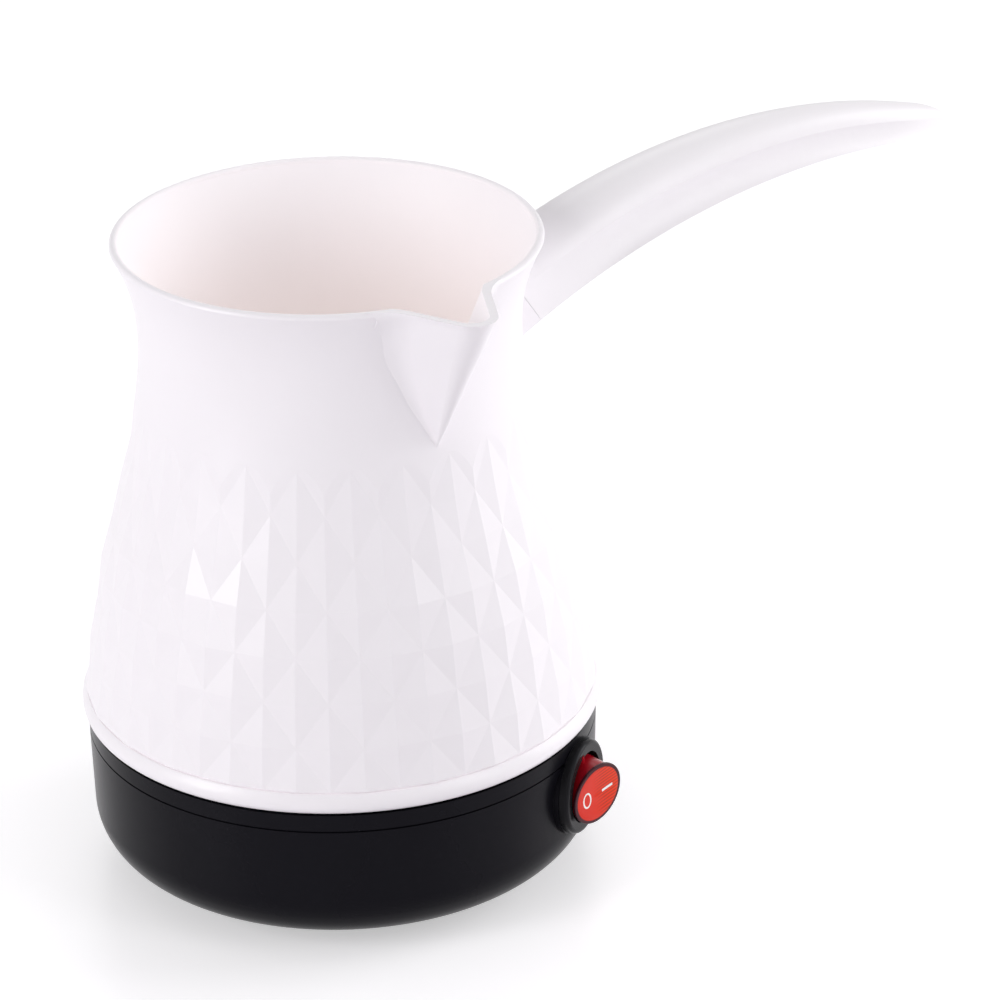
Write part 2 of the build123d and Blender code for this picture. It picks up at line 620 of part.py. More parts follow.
def cord_gland():
    """A grommet: flange outside, barrel through the wall, lip inside and a bore for the cord."""
    axis = Pos(0, 0, GLAND_Z) * Rot(0, 90, 0)
    wall_x = GLAND_SEAT_X

    def along(radius, x0, x1):
        return axis * Pos(0, 0, (x0 + x1) / 2) * Cylinder(radius, x1 - x0)
    flange = fillet(along(7.6, wall_x, wall_x + 2.4).edges().sort_by(Axis.X)[-1], 1.0)
    snout = fillet(along(5.6, wall_x, GLAND_OUT_X).edges().sort_by(Axis.X)[-1], 1.0)
    gland = flange + snout + along(5.6, GLAND_IN_X, wall_x) + along(6.4, GLAND_IN_X, 52.6)
    return gland - along(GLAND_BORE_R, GLAND_IN_X - 1, GLAND_OUT_X + 1)


def cord_clamp():
    bar = block(40.5, 47.5, -12, 12, GLAND_Z + 2, GLAND_Z + 5) + block(40.5, 47.5, -3, 3, GLAND_Z + 0.8, GLAND_Z + 2)
    for y in (-9, 9):
        bar -= peg(1.5, GLAND_Z, GLAND_Z + 6, 44, y)
    return bar


def cord_clamp_screws():
    top = GLAND_Z + 5
    screws = []
    for y in (-9, 9):
        upright = screw(44, y, -top - 1.8, 2.6, 1.8, 1.15, -GLAND_Z + 7)
        screws.append(Pos(44, y, 0) * Rot(180, 0, 0) * Pos(-44, -y, 0) * upright)
    return screws


# --- switch, in its own frame ------------------------------------------------------------------

def on_rocker(shape, angle=-REST_TILT):
    """Tips a shape about the rocker's pivot."""
    return Pos(0, 0, ROCKER_PIVOT) * Rot(0, angle, 0) * Pos(0, 0, -ROCKER_PIVOT) * shape


def blade_tops():
    """How far each terminal blade reaches into the housing."""
    return LEVER_PIVOT - 1.15, LEVER_PIVOT - 0.3, LEVER_PIVOT - 1.5


def switch_terminals():
    blades = []
    for x, top in zip(BLADE_X, blade_tops()):
        blade = block(x - BLADE_T / 2, x + BLADE_T / 2, -BLADE_W / 2, BLADE_W / 2, BLADE_END, top)
        blade -= Pos(x, 0, BLADE_END + 2.6) * Rot(0, 90, 0) * Cylinder(0.9, 2)
        blades.append(blade)
    x, top = BLADE_X[0], blade_tops()[0]
    blades[0] += block(x - 1.4, x + 1.4, -BLADE_W / 2, BLADE_W / 2, top - 0.6, top)
    blades[0] += peg(1.1, top, top + 0.5, x)
    return [on_switch(b) for b in blades]


def switch_housing():
    collar = peg(COLLAR_R, -COLLAR_T, 0)
    collar = fillet(collar.edges().sort_by(Axis.Z)[-1], 0.9)
    housing = collar + peg(HOUSING_R, -HOUSING_DEPTH, -COLLAR_T)
    housing -= peg(OPENING_R, -HOUSING_DEPTH + 1.5, 1)
    housing -= Pos(0, 0, ROCKER_PIVOT) * Rot(90, 0, 0) * Cylinder(0.78, 18)
    for x in BLADE_X:
        housing -= block(x - BLADE_T / 2, x + BLADE_T / 2, -BLADE_W / 2, BLADE_W / 2, -20, -10)
    for side in (-1, 1):
        snap = Polyline((0, side * HOUSING_R, -6.4), (0, side * (HOUSING_R + 0.9), -7), (0, side * HOUSING_R, -11),
                        (0, side * (HOUSING_R - 1), -11), (0, side * (HOUSING_R - 1), -6.4), close=True)
        housing += extrude(make_face(snap), 2, both=True)
    return on_switch(housing)


def switch_rocker():
    """A dished round button on an oval skirt, with two pivot pins and a stem for the plunger."""
    skirt = Pos(0, 0, ROCKER_SKIRT) * extrude(Ellipse(ROCKER_HALF_L, ROCKER_HALF_W), ROCKER_FACE - ROCKER_SKIRT)
    hollow = Ellipse(ROCKER_HALF_L - 1.2, ROCKER_HALF_W - 1.2)
    skirt -= Pos(0, 0, ROCKER_SKIRT) * extrude(hollow, ROCKER_FACE - ROCKER_SKIRT - 1.6)
    disc = peg(ROCKER_FACE_R, ROCKER_FACE - ROCKER_FACE_T, ROCKER_FACE)
    disc = fillet(disc.edges().filter_by(GeomType.CIRCLE), 0.2)
    body = skirt + disc
    dish_r = 60.0
    body -= Pos(0, 0, ROCKER_FACE + dish_r - 0.3) * Sphere(dish_r)
    body += peg(2.1, ROCKER_PIVOT - 4.2, ROCKER_FACE - 1.2)
    body -= peg(1.3, ROCKER_PIVOT - 5, ROCKER_FACE - 1.6)
    for side in (-1, 1):
        body += Pos(0, side * 7.8, ROCKER_PIVOT) * Rot(90, 0, 0) * Cylinder(0.72, 2.0)
    return on_switch(on_rocker(body))


def plunger_and_spring():
    tip = ROCKER_PIVOT - PLUNGER_REACH
    plunger = peg(1.22, tip + 1.22, ROCKER_PIVOT - 1.0) + Pos(0, 0, tip + 1.22) * Sphere(1.22)
    top, low = ROCKER_FACE - 1.8, ROCKER_PIVOT - 0.9
    wire_r, coil_r, turns = 0.16, 0.95, 3.5
    path = Pos(0, 0, low + wire_r) * Helix((top - low - 2 * wire_r) / turns, top - low - 2 * wire_r, coil_r)
    start = Plane(origin=path @ 0, z_dir=path % 0)
    spring = sweep(start * Circle(wire_r), path)
    return on_switch(on_rocker(plunger)), on_switch(on_rocker(spring))


def contact_lever():
    """A V-bent strip that rocks on the middle blade, with a contact under its closing arm."""
    rise = sin(radians(LEVER_RISE)) / cos(radians(LEVER_RISE))
    reach, thick = 4.8, 0.7
    points = [(0, 0, 0), (reach, 0, reach * rise), (reach, 0, reach * rise + thick), (0, 0, thick),
              (-reach, 0, reach * rise + thick), (-reach, 0, reach * rise)]
    lever = extrude(make_face(Polyline(*points, close=True)), 2.0, both=True)
    contact_z = 4.2 * rise
    lever += peg(1.0, contact_z - 0.5, contact_z + 0.4, -4.2)
    return on_switch(Pos(0, 0, LEVER_PIVOT) * Rot(0, LEVER_REST, 0) * lever)


def lamp_and_resistor():
    lamp = Pos(0, 5.6, LEVER_PIVOT + 1.5) * Rot(0, 90, 0) * Cylinder(1.4, 6)
    lamp = fillet(lamp.edges().filter_by(GeomType.CIRCLE), 1.0)
    resistor = Pos(0, -5.6, LEVER_PIVOT + 0.6) * Rot(0, 90, 0) * Cylinder(0.9, 4.6)
    resistor = fillet(resistor.edges().filter_by(GeomType.CIRCLE), 0.4)
    return on_switch(lamp), on_switch(resistor)


# --- leads -------------------------------------------------------------------------------------

LEAD_R = 1.15
LEAD_BEND = 4.0


def boot(width, tip):
    """The sleeve of a push-on terminal, over an upright blade whose lower end is at the height tip."""
    sleeve = extrude(Pos(0, 0, tip - 2.6) * RectangleRounded(3.8, width + 2, 1.2), 9)
    return sleeve - block(-0.42, 0.42, -width / 2 - 0.02, width / 2 + 0.02, tip - 0.02, tip + 9)


def lead(*points):
    """Insulated wire in straight runs with round bends."""
    path = FilletPolyline(*points, radius=LEAD_BEND)
    return sweep(Plane(origin=path @ 0, z_dir=path % 0) * Circle(LEAD_R), path)


def leads():
    """From the switch to the thermostat, from there to the heater, and from the fuse to the heater."""
    (ax, ay), (bx, by) = element_ends()
    x, end = THERMOSTAT_BLADE_X, THERMOSTAT_BLADE_END_Z
    start, turn = [(switch_plane().location * Pos(BLADE_X[0], 0, BLADE_END - d)).position for d in (2.1, 8)]
    first = lead(start, turn, (x, -6, 10.5), (x, 0, 10.5), (x, 0, end - 2.1))
    first += [on_switch(Pos(BLADE_X[0], 0, 0) * boot(BLADE_W, BLADE_END)), Pos(x, 0, 0) * boot(TAB_W, end)]
    second = lead((-x, 0, end - 2.1), (-x, 0, 9), (bx, by, 6.5), (bx, by, TAB_END_Z - 2.1))
    second += [Pos(-x, 0, 0) * boot(TAB_W, end), Pos(bx, by, 0) * boot(TAB_W, TAB_END_Z)]
    third = lead((FUSE_X, FUSE_WIRE_Y + 1.2, FUSE_Z), (FUSE_X, FUSE_WIRE_Y + 7.5, FUSE_Z), (8, 18.5, 14),
                 (ax, ay, 6.5), (ax, ay, TAB_END_Z - 2.1))
    crimp = Pos(FUSE_X, FUSE_WIRE_Y, FUSE_Z) * Rot(90, 0, 0) * Cylinder(1.7, 5)
    crimp -= Pos(FUSE_X, FUSE_WIRE_Y - 2.9, FUSE_Z) * Rot(90, 0, 0) * Cylinder(0.52, 6)
    third += [crimp, Pos(ax, ay, 0) * boot(TAB_W, TAB_END_Z)]
    return first, second, third


# --- build -------------------------------------------------------------------------------------

os.makedirs("parts", exist_ok=True)

blank = handle_solid()
save("pot_body", pot_body(blank))
save("handle_shell", handle_shell(blank))
save("handle_cover", handle_cover())
save("handle_screws", *[screw(x, 0, under_z(x) + 0.5, 2.7, 1.5, 1.25, under_z(x) + 9.2) for x in HANDLE_SCREW_X])

save("heating_plate", heating_plate())
save("plate_seal", plate_seal())
save("clamp_ring", clamp_ring())
save("clamp_screws", *clamp_screws())
save("heat_spreader", heat_spreader())
save("heating_element", heating_element())
insulators, terminals = element_fittings()
save("element_insulators", *insulators)
save("element_terminals", *terminals)
cap, body, blades = thermostat()
save("thermostat_cap", cap)
save("thermostat_body", body)
save("thermostat_terminals", *blades)
save("thermostat_bracket", thermostat_bracket())
save("thermostat_screws", *[screw(0, y, STRAP_Z - 2.6, 2.6, 1.6, 1.2, SPREADER_LOW_Z + 1.3)
                            for y in (-STRAP_BOLT_Y, STRAP_BOLT_Y)])
save("thermal_fuse", thermal_fuse())
save("earth_tab", earth_tab())

save("base_cup", base_cup())
save("base_screws", *base_screws())
save("foot_ring", foot_ring())
save("cord_gland", cord_gland())
save("cord_clamp", cord_clamp())
save("cord_clamp_screws", *cord_clamp_screws())

save("switch_housing", switch_housing())
save("switch_rocker", switch_rocker())
plunger, spring = plunger_and_spring()
save("switch_plunger", plunger)
save("switch_spring", spring)
save("contact_lever", contact_lever())
save("switch_terminals", *switch_terminals())
lamp, resistor = lamp_and_resistor()
save("neon_lamp", lamp)
save("lamp_resistor", resistor)

switch_lead, heater_lead, fuse_lead = leads()
save("lead_switch_thermostat", switch_lead)
save("lead_thermostat_element", heater_lead)
save("lead_fuse_element", fuse_lead)
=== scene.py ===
from math import cos, pi, radians, sin

import bpy
from mathutils import Matrix, Vector


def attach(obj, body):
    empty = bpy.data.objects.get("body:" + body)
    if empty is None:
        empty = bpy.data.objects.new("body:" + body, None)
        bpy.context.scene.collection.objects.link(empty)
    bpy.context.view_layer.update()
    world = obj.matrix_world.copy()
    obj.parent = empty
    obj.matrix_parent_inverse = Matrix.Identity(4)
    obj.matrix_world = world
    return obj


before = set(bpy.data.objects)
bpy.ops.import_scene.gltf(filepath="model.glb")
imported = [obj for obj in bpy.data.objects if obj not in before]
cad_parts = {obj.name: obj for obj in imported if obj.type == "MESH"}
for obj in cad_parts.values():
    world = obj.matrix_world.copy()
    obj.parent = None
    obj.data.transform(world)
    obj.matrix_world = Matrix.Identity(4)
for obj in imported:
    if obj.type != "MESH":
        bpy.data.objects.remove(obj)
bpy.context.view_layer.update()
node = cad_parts


# --- Pot -----------------------------------------------------------------------------------------
# The pot is one moulding of white polypropylene with a soft gloss. Low down inside, its white is
# painted warmer, a painted tint of the light that bounces round in there. A faint glow on its inner wall
# and in the narrow groove over its bead stands in for that light and for the light that comes through
# the plastic.

def shader(name):
    """A new material with its tree and its main shader."""
    material = bpy.data.materials.new(name)
    material.use_nodes = True
    tree = material.node_tree
    return material, tree, tree.nodes["Principled BSDF"]


def add(tree, kind, **inputs):
    """A node with its inputs set by name, with underscores for spaces."""
    made = tree.nodes.new(kind)
    for key, value in inputs.items():
        made.inputs[key.replace("_", " ")].default_value = value
    return made


def grain(tree, bsdf, scale, height, distance):
    """Fine relief from noise in the object's own space."""
    place = tree.nodes.new("ShaderNodeTexCoord")
    noise = add(tree, "ShaderNodeTexNoise", Scale=scale, Detail=4)
    bump = add(tree, "ShaderNodeBump", Strength=height, Distance=distance)
    tree.links.new(place.outputs["Object"], noise.inputs["Vector"])
    tree.links.new(noise.outputs["Fac"], bump.inputs["Height"])
    tree.links.new(bump.outputs["Normal"], bsdf.inputs["Normal"])


def mix_colours(tree, factor, colour_a, colour_b):
    """A colour between two, each of them given as numbers or as a socket."""
    mix = tree.nodes.new("ShaderNodeMix")
    mix.data_type = "RGBA"
    tree.links.new(factor, mix.inputs["Factor"])
    for key, colour in (("A", colour_a), ("B", colour_b)):
        if isinstance(colour, tuple):
            mix.inputs[key].default_value = (*colour, 1)
        else:
            tree.links.new(colour, mix.inputs[key])
    return mix.outputs["Result"]


def mottle(tree, bsdf, low, high, colours=None, scale=30.0):
    """Roughness, and colour if two are given, that wander between two values."""
    place = tree.nodes.new("ShaderNodeTexCoord")
    noise = add(tree, "ShaderNodeTexNoise", Scale=scale, Detail=5)
    span = add(tree, "ShaderNodeMapRange", From_Min=0.3, From_Max=0.7, To_Min=low, To_Max=high)
    tree.links.new(place.outputs["Object"], noise.inputs["Vector"])
    tree.links.new(noise.outputs["Fac"], span.inputs["Value"])
    tree.links.new(span.outputs["Result"], bsdf.inputs["Roughness"])
    if colours:
        blend = mix_colours(tree, noise.outputs["Fac"], *colours)
        tree.links.new(blend, bsdf.inputs["Base Color"])
    return span.outputs["Result"]


def math_node(tree, operation, *values):
    """A sum, product or other figure of values, each of them a number or a socket."""
    made = tree.nodes.new("ShaderNodeMath")
    made.operation = operation
    for socket, value in zip(made.inputs, values):
        if isinstance(value, float):
            socket.default_value = value
        else:
            tree.links.new(value, socket)
    return made.outputs["Value"]


def ramp(tree, value, start, end, low=0.0, high=1.0):
    """Low at start and high at end, and held beyond them."""
    made = add(tree, "ShaderNodeMapRange", From_Min=start, From_Max=end, To_Min=low, To_Max=high)
    tree.links.new(value, made.inputs["Value"])
    return made.outputs["Result"]


def dress(name, material):
    """Gives a CAD node its material."""
    slots = node[name].material_slots
    if not slots:
        node[name].data.materials.append(material)
    for one in slots:
        one.material = material


def white_moulding(name, colour):
    """White plastic with a soft gloss and a faint moulded grain."""
    material, tree, bsdf = shader(name)
    bsdf.inputs["Base Color"].default_value = (*colour, 1)
    bsdf.inputs["IOR"].default_value = 1.49
    bsdf.inputs["Specular IOR Level"].default_value = 0.5
    gloss = mottle(tree, bsdf, 0.32, 0.36, scale=12)
    grain(tree, bsdf, 900, 0.03, 0.0002)
    return material, tree, bsdf, gloss


POT_COLOUR = (0.905, 0.870, 0.910)
# the inner wall's painted warm tint, standing in for the light that bounces round inside the pot
PAINTED_BOUNCE_COLOUR = (0.95, 0.865, 0.84)
GLOW_COLOUR = (1.0, 0.94, 0.90)
LOOKS_IN = (-0.004, -0.026)            # a face's distance from the axis, times how much it looks out
FLOOR_Z, LOW_WALL_Z = 0.044, 0.070     # the inner wall starts to count here, and counts in full here
NECK_Z, BELLY_Z = 0.152, 0.085         # the painted warm tint of bounced light starts at the neck and is full in the belly
NECK_GLOW, BELLY_GLOW = 0.085, 0.20
INNER_DULLING = 0.22
GROOVE_LOW, GROOVE_HIGH = 0.04345, 0.04390
GROOVE_BLUR, GROOVE_GLOW = 0.00005, 0.08

pot_white, tree, bsdf, gloss = white_moulding("pot_white", POT_COLOUR)
place = tree.nodes.new("ShaderNodeTexCoord")
flat = tree.nodes.new("ShaderNodeVectorMath")
flat.operation = "MULTIPLY"
flat.inputs[1].default_value = (1, 1, 0)
tree.links.new(place.outputs["Object"], flat.inputs[0])
facing = tree.nodes.new("ShaderNodeVectorMath")
facing.operation = "DOT_PRODUCT"
tree.links.new(flat.outputs["Vector"], facing.inputs[0])
geometry = tree.nodes.new("ShaderNodeNewGeometry")
tree.links.new(geometry.outputs["True Normal"], facing.inputs[1])
split = tree.nodes.new("ShaderNodeSeparateXYZ")
tree.links.new(place.outputs["Object"], split.inputs["Vector"])
height = split.outputs["Z"]
inner_wall = math_node(tree, "MULTIPLY", ramp(tree, facing.outputs["Value"], *LOOKS_IN),
                       ramp(tree, height, FLOOR_Z, LOW_WALL_Z))
# painted warm tint of bounced light on the inner wall, growing from the neck down to the belly
painted_bounce_warmth = math_node(tree, "MULTIPLY", inner_wall, ramp(tree, height, NECK_Z, BELLY_Z))
tree.links.new(mix_colours(tree, painted_bounce_warmth, POT_COLOUR, PAINTED_BOUNCE_COLOUR), bsdf.inputs["Base Color"])
duller = math_node(tree, "ADD", gloss, math_node(tree, "MULTIPLY", inner_wall, INNER_DULLING))
tree.links.new(duller, bsdf.inputs["Roughness"])
bsdf.inputs["Emission Color"].default_value = (*GLOW_COLOUR, 1)
bounced = math_node(tree, "MULTIPLY", inner_wall,
                    ramp(tree, height, NECK_Z, BELLY_Z, NECK_GLOW, BELLY_GLOW))
in_groove = math_node(tree, "MULTIPLY",
                      ramp(tree, height, GROOVE_LOW - GROOVE_BLUR, GROOVE_LOW, 0.0, GROOVE_GLOW),
                      ramp(tree, height, GROOVE_HIGH + GROOVE_BLUR, GROOVE_HIGH))
tree.links.new(math_node(tree, "MAXIMUM", bounced, in_groove), bsdf.inputs["Emission Strength"])
dress("pot_body", pot_white)


# --- Handle --------------------------------------------------------------------------------------
# A hollow handle in the same white plastic, moulded on its own and slid over the pot's bracket.
# A plate closes it from below, and two screws through the plate hold it.

handle_white = white_moulding("handle_white", (0.905, 0.875, 0.908))[0]
dress("handle_shell", handle_white)
dress("handle_cover", handle_white)


# --- Steel floor and its seal --------------------------------------------------------------------
# The pot's floor is a pan of stainless sheet with a spun grain. A ring of silicone fills the gap
# round it.

def spun_steel(name, colour, rough):
    """Metal with the fine rings that spinning and turning leave."""
    material, tree, bsdf = shader(name)
    bsdf.inputs["Metallic"].default_value = 1.0
    bsdf.inputs["Anisotropic"].default_value = 0.5
    worn = tuple(c * 0.86 for c in colour)
    mottle(tree, bsdf, rough, rough + 0.12, (colour, worn), scale=60)
    place = tree.nodes.new("ShaderNodeTexCoord")
    rings = add(tree, "ShaderNodeTexWave", Scale=260.0, Distortion=2.0, Detail=2.0)
    rings.wave_type = "RINGS"
    rings.rings_direction = "Z"
    bump = add(tree, "ShaderNodeBump", Strength=0.12, Distance=0.00005)
    tree.links.new(place.outputs["Object"], rings.inputs["Vector"])
    tree.links.new(rings.outputs["Fac"], bump.inputs["Height"])
    tree.links.new(bump.outputs["Normal"], bsdf.inputs["Normal"])
    return material


def rubbery(name, light, dark, rough):
    """A soft or fired skin with no shine: rubber, silicone, lacquer or ceramic."""
    material, tree, bsdf = shader(name)
    bsdf.inputs["IOR"].default_value = 1.45
    mottle(tree, bsdf, rough, rough + 0.15, (light, dark), scale=90)
    grain(tree, bsdf, 1400, 0.15, 0.0002)
    return material


dress("heating_plate", spun_steel("spun_stainless", (0.66, 0.65, 0.64), 0.31))
dress("plate_seal", rubbery("seal_silicone", (0.62, 0.60, 0.57), (0.70, 0.68, 0.65), 0.42))


# --- Base ----------------------------------------------------------------------------------------
# A cup moulded in near-black plastic with a satin face, closed by the pot above it and standing
# on a ring of rubber that is pressed into a groove. The cord's bush and clamp are black too.

def black_moulding(name, colour, rough):
    """Dark plastic with a low shine."""
    material, tree, bsdf = shader(name)
    bsdf.inputs["IOR"].default_value = 1.5
    bsdf.inputs["Specular IOR Level"].default_value = 0.075
    bsdf.inputs["Specular Tint"].default_value = (0.90, 0.88, 1.0, 1)
    paler = tuple(c * 1.35 for c in colour)
    mottle(tree, bsdf, rough, rough + 0.03, (colour, paler), scale=20)
    grain(tree, bsdf, 2600, 0.08, 0.0002)
    return material


base_black = black_moulding("base_black", (0.0036, 0.0034, 0.0050), 0.26)
dress("base_cup", base_black)
dress("cord_clamp", base_black)
black_rubber = rubbery("black_rubber", (0.018, 0.018, 0.019), (0.03, 0.03, 0.031), 0.55)
dress("foot_ring", black_rubber)
dress("cord_gland", black_rubber)


# --- Switch --------------------------------------------------------------------------------------
# A round rocker switch, clipped into the base. Its collar is black nylon. Its rocker is clear red
# plastic over a lamp, ribbed behind its face, with a dark rim where the clear wall is seen edge on.

dress("switch_housing", black_moulding("collar_black", (0.010, 0.010, 0.011), 0.16))

# The switch's own directions: out of the base, along the rocker to its on side, and across it
AZIMUTH, TURN, TILT = radians(-56.8), radians(12.0), radians(-21.0)
SEAT_R, PIVOT_IN, SWITCH_Z = 0.0601, 0.0005, 0.0257
outward = Vector((cos(AZIMUTH), sin(AZIMUTH), 0))
level = Vector((-sin(AZIMUTH), cos(AZIMUTH), 0))
rise = Vector((0, 0, 1))
along = level * cos(TURN) + rise * sin(TURN)
across = rise * cos(TURN) - level * sin(TURN)
pivot = outward * (SEAT_R - PIVOT_IN) + rise * SWITCH_Z
rocker_along = along * cos(TILT) - outward * sin(TILT)
rocker_out = outward * cos(TILT) + along * sin(TILT)

LIT_R = (0.00672, 0.00650)             # the lit face ends between these radii
SKIRT_TOP = (0.0032, 0.0036)           # and the side wall ends between these heights
RIB_PITCH, RIBS_FROM = 0.00085, (-0.001, 0.002)
FACE_RED, RIB_RED = (0.62, 0.010, 0.006), (0.20, 0.005, 0.005)
SKIRT_RED, RIM_RED = (0.33, 0.004, 0.012), (0.050, 0.006, 0.012)
NEON_COLOUR = (1.0, 0.15, 0.015)
NEON_REACH, NEON_GLOW = (-0.004, 0.006), (0.06, 0.20)     # it shines brighter towards the on side


def reach_along(tree, socket, direction):
    """How far a vector reaches along a direction."""
    made = tree.nodes.new("ShaderNodeVectorMath")
    made.operation = "DOT_PRODUCT"
    made.inputs[1].default_value = direction
    tree.links.new(socket, made.inputs[0])
    return made.outputs["Value"]


red_lens, tree, bsdf = shader("red_lens")
bsdf.inputs["IOR"].default_value = 1.5
bsdf.inputs["Specular IOR Level"].default_value = 0.16
mottle(tree, bsdf, 0.12, 0.2, scale=70)
place = tree.nodes.new("ShaderNodeTexCoord")
offset = tree.nodes.new("ShaderNodeVectorMath")
offset.operation = "SUBTRACT"
offset.inputs[1].default_value = pivot
tree.links.new(place.outputs["Object"], offset.inputs[0])
x = reach_along(tree, offset.outputs["Vector"], rocker_along)
y = reach_along(tree, offset.outputs["Vector"], across)
z = reach_along(tree, offset.outputs["Vector"], rocker_out)
flat = tree.nodes.new("ShaderNodeCombineXYZ")
tree.links.new(x, flat.inputs["X"])
tree.links.new(y, flat.inputs["Y"])
radius = tree.nodes.new("ShaderNodeVectorMath")
radius.operation = "LENGTH"
tree.links.new(flat.outputs["Vector"], radius.inputs[0])
above = ramp(tree, z, *SKIRT_TOP)
lit = math_node(tree, "MULTIPLY", ramp(tree, radius.outputs["Value"], *LIT_R), above)
wave = math_node(tree, "SINE", math_node(tree, "MULTIPLY", y, 2 * pi / RIB_PITCH))
on_side = ramp(tree, x, *RIBS_FROM)
ribbed = math_node(tree, "MULTIPLY", ramp(tree, wave, 0.0, 0.9, 0.0, 0.75), on_side)
face = mix_colours(tree, ribbed, FACE_RED, RIB_RED)
skirt = mix_colours(tree, above, SKIRT_RED, RIM_RED)
tree.links.new(mix_colours(tree, lit, skirt, face), bsdf.inputs["Base Color"])
bsdf.inputs["Emission Color"].default_value = (*NEON_COLOUR, 1)
glow = math_node(tree, "MULTIPLY", lit, ramp(tree, x, *NEON_REACH, *NEON_GLOW))
tree.links.new(glow, bsdf.inputs["Emission Strength"])
dress("switch_rocker", red_lens)


# --- Marks on the rocker -------------------------------------------------------------------------
# A ring for off and a short line for on, pad-printed in white on the rocker's dished face, so they
# tip with it. The ink stands a little above the skin.

FACE_HEIGHT, DISH_DEPTH, DISH_RADIUS = 0.0042, 0.0003, 0.060
INK, INK_FLAT = 0.00002, 0.9           # the ink's height, and how much of its width is at full height
RING_X, RING_HALF_X, RING_HALF_Y, RING_POINTS = -0.0033, 0.00118, 0.0019, 48
LINE_X, LINE_Y, LINE_STEP, LINE_POINTS = 0.0016, -0.0003, 0.00032, 11
RING_STROKE, LINE_STROKE = 0.00022, 0.00036               # half of each stroke's width

white_ink, tree, bsdf = shader("white_ink")
mottle(tree, bsdf, 0.35, 0.5, ((0.90, 0.86, 0.84), (0.95, 0.93, 0.91)), scale=300)
grain(tree, bsdf, 3000, 0.1, 0.00005)


def on_face(x, y, lift):
    """A spot on the dished face, x along the rocker and y across it, a little above its skin."""
    height = FACE_HEIGHT - DISH_DEPTH + (x * x + y * y) / (2 * DISH_RADIUS) + lift
    return pivot + rocker_along * x + across * y + rocker_out * height


def print_band(name, centre_line, half_width, closed):
    """A thin raised band of ink along a line on the face."""
    verts, faces = [], []
    count = len(centre_line)
    for k, (x, y) in enumerate(centre_line):
        ahead = centre_line[(k + 1) % count] if closed or k + 1 < count else (x, y)
        behind = centre_line[k - 1] if closed or k else (x, y)
        run = Vector((ahead[0] - behind[0], ahead[1] - behind[1])).normalized() * half_width
        for side, lift in ((1, -INK), (INK_FLAT, INK), (-INK_FLAT, INK), (-1, -INK)):
            verts.append(on_face(x - run.y * side, y + run.x * side, lift))
    for k in range(count if closed else count - 1):
        for j in range(3):
            a, b = 4 * k + j, 4 * ((k + 1) % count) + j
            faces.append((a, a + 1, b + 1, b))
    mesh = bpy.data.meshes.new(name)
    mesh.from_pydata(verts, [], faces)
    mesh.materials.append(white_ink)
    made = bpy.data.objects.new(name, mesh)
    bpy.context.scene.collection.objects.link(made)
    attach(made, "rocker")


turns = [2 * pi * k / RING_POINTS for k in range(RING_POINTS)]
ring = [(RING_X + RING_HALF_X * cos(a), RING_HALF_Y * sin(a)) for a in turns]
print_band("off_mark", ring, RING_STROKE, True)
line = [(LINE_X + LINE_STEP * k, LINE_Y) for k in range(LINE_POINTS)]
print_band("on_mark", line, LINE_STROKE, False)


# --- Parts inside --------------------------------------------------------------------------------
# The heater and its fittings, hidden in the base: an aluminium spreader, a tubular heater, the
# thermostat on its strap, the fuse, and the switch's contacts, joined by short silicone leads.

finishes = {
    spun_steel("zinc_plate", (0.55, 0.57, 0.60), 0.34): (
        "clamp_ring", "clamp_screws", "base_screws", "handle_screws", "thermostat_bracket",
        "thermostat_screws", "cord_clamp_screws", "element_terminals", "switch_spring"),
    spun_steel("heater_sheath", (0.30, 0.28, 0.27), 0.42): ("heating_element",),
    spun_steel("machined_aluminium", (0.80, 0.80, 0.81), 0.34): ("heat_spreader", "thermostat_cap"),
    spun_steel("stamped_brass", (0.78, 0.57, 0.22), 0.32): (
        "thermostat_terminals", "earth_tab", "contact_lever", "switch_terminals"),
    black_moulding("brown_phenolic", (0.05, 0.022, 0.012), 0.4): ("thermostat_body", "switch_plunger"),
    rubbery("white_ceramic", (0.80, 0.78, 0.72), (0.86, 0.84, 0.79), 0.6): ("element_insulators",),
    rubbery("fuse_sleeve", (0.78, 0.74, 0.64), (0.85, 0.82, 0.74), 0.5): ("thermal_fuse",),
    rubbery("tan_lacquer", (0.62, 0.44, 0.26), (0.70, 0.52, 0.32), 0.35): ("lamp_resistor",),
    rubbery("red_silicone_lead", (0.28, 0.02, 0.015), (0.36, 0.03, 0.02), 0.45): (
        "lead_switch_thermostat", "lead_thermostat_element"),
    rubbery("blue_silicone_lead", (0.015, 0.05, 0.25), (0.02, 0.07, 0.32), 0.45): ("lead_fuse_element",),
}
for material, names in finishes.items():
    for name in names:
        dress(name, material)

lamp_glass, tree, bsdf = shader("lamp_glass")
bsdf.inputs["Transmission Weight"].default_value = 1.0
bsdf.inputs["IOR"].default_value = 1.46
mottle(tree, bsdf, 0.02, 0.06, ((0.95, 0.80, 0.70), (1.0, 0.88, 0.80)))
dress("neon_lamp", lamp_glass)


# --- Studio --------------------------------------------------------------------------------------
# A white floor without an edge, a pale sky all round, and broad soft lamps: one to the left, two to
# the right, and a small one behind.

FLOOR_REACH = 6.0
FLOOR_GLOW = 0.42
SKY_LIGHT, SKY_SEEN = 0.46, 0.98       # the sky's strength on the object, and as a background
LAMPS_AIM = Vector((0, 0, 0.08))


def plain_sight(tree):
    """1 for rays from the camera, from gloss and through glass, 0 for those that light the object."""
    path = tree.nodes.new("ShaderNodeLightPath")
    seen = math_node(tree, "MAXIMUM", path.outputs["Is Camera Ray"], path.outputs["Is Glossy Ray"])
    return math_node(tree, "MAXIMUM", seen, path.outputs["Is Transmission Ray"])


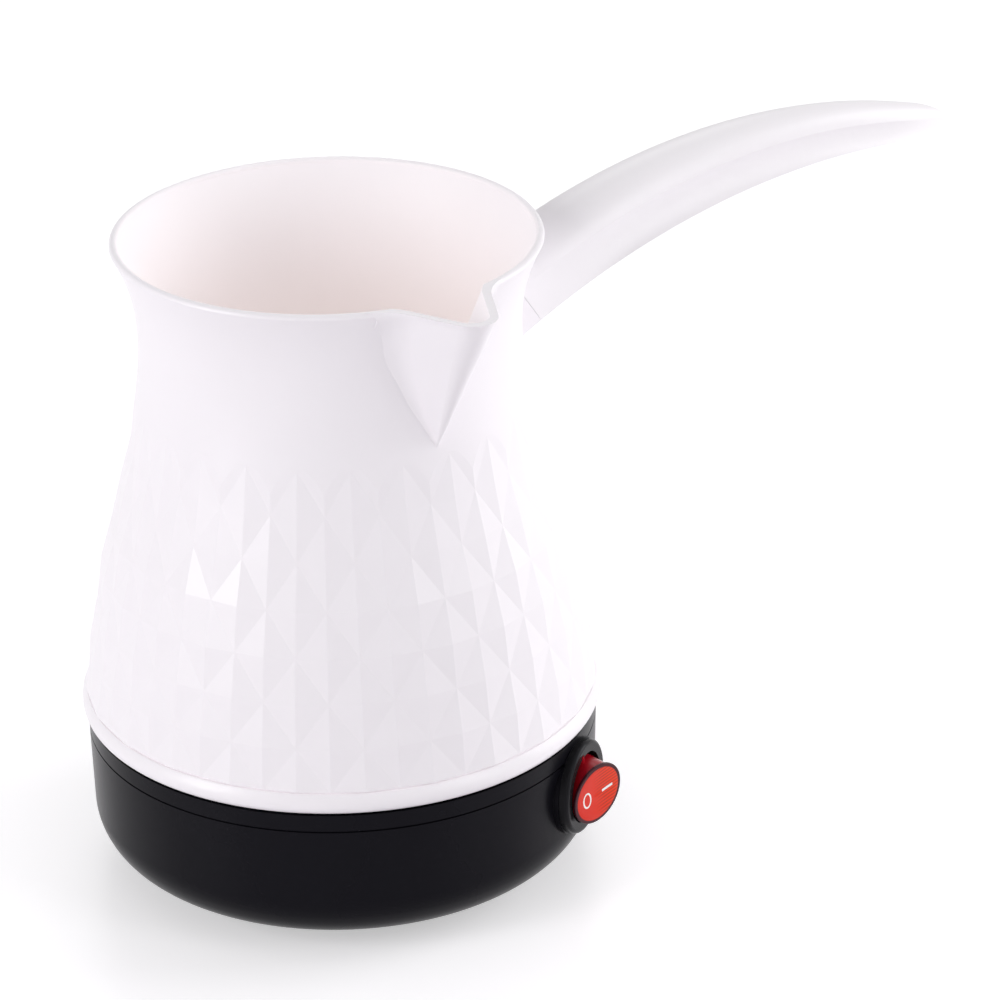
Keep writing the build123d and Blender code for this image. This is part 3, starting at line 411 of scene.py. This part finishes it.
corners = [(-FLOOR_REACH, -FLOOR_REACH, 0), (FLOOR_REACH, -FLOOR_REACH, 0),
           (FLOOR_REACH, FLOOR_REACH, 0), (-FLOOR_REACH, FLOOR_REACH, 0)]
floor_mesh = bpy.data.meshes.new("floor")
floor_mesh.from_pydata(corners, [], [(0, 1, 2, 3)])
floor = bpy.data.objects.new("floor", floor_mesh)
bpy.context.scene.collection.objects.link(floor)
floor_white, tree, bsdf = shader("floor_white")
bsdf.inputs["Base Color"].default_value = (0.82, 0.80, 0.83, 1)
bsdf.inputs["Roughness"].default_value = 0.35
bsdf.inputs["Specular IOR Level"].default_value = 0.35
bsdf.inputs["Emission Color"].default_value = (1, 1, 1, 1)
glow = ramp(tree, plain_sight(tree), 0.0, 1.0, 0.0, FLOOR_GLOW)
tree.links.new(glow, bsdf.inputs["Emission Strength"])
floor_mesh.materials.append(floor_white)

world = bpy.data.worlds.new("sky")
bpy.context.scene.world = world
world.use_nodes = True
tree = world.node_tree
sky = tree.nodes["Background"]
sky.inputs["Color"].default_value = (1, 1, 1, 1)
strength = ramp(tree, plain_sight(tree), 0.0, 1.0, SKY_LIGHT, SKY_SEEN)
tree.links.new(strength, sky.inputs["Strength"])


def lamp(name, place, width, height, watts):
    """A soft rectangular lamp that points at the pot's belly."""
    data = bpy.data.lights.new(name, "AREA")
    data.shape = "RECTANGLE"
    data.size, data.size_y = width, height
    data.energy = watts
    made = bpy.data.objects.new(name, data)
    bpy.context.scene.collection.objects.link(made)
    made.location = place
    made.rotation_euler = (LAMPS_AIM - Vector(place)).to_track_quat("-Z", "Y").to_euler()


lamp("left", (-1.25, 0.022, 0.5), 0.45, 0.9, 8.1)
lamp("right", (1.182, -0.407, 0.5), 0.8, 0.9, 7.7)
lamp("front_right", (0.528, -1.133, 0.5), 0.4, 0.9, 3.3)
lamp("back", (0.545, 0.839, 1.0), 0.6, 0.6, 1.6)


# --- Camera --------------------------------------------------------------------------------------
# A long lens that looks down a little, past the spout, with the handle running away to the right.

CAMERA_PLACE = (-0.43598, -0.73866, 0.49099)
CAMERA_AIM = (0.49236, 0.75816, -0.42753)
ROLL = radians(-0.926)

camera_data = bpy.data.cameras.new("camera")
camera_data.sensor_width = 36.0
camera_data.lens = 152.7
camera_data.clip_end = 50
camera = bpy.data.objects.new("camera", camera_data)
bpy.context.scene.collection.objects.link(camera)
bpy.context.scene.camera = camera
forward = Vector(CAMERA_AIM).normalized()
level_right = forward.cross(Vector((0, 0, 1))).normalized()
level_up = level_right.cross(forward)
right = level_right * cos(ROLL) + level_up * sin(ROLL)
up = level_up * cos(ROLL) - level_right * sin(ROLL)
turned = Matrix((right, up, -forward)).transposed().to_4x4()
camera.matrix_world = Matrix.Translation(CAMERA_PLACE) @ turned
bpy.context.scene.view_settings.view_transform = "Standard"
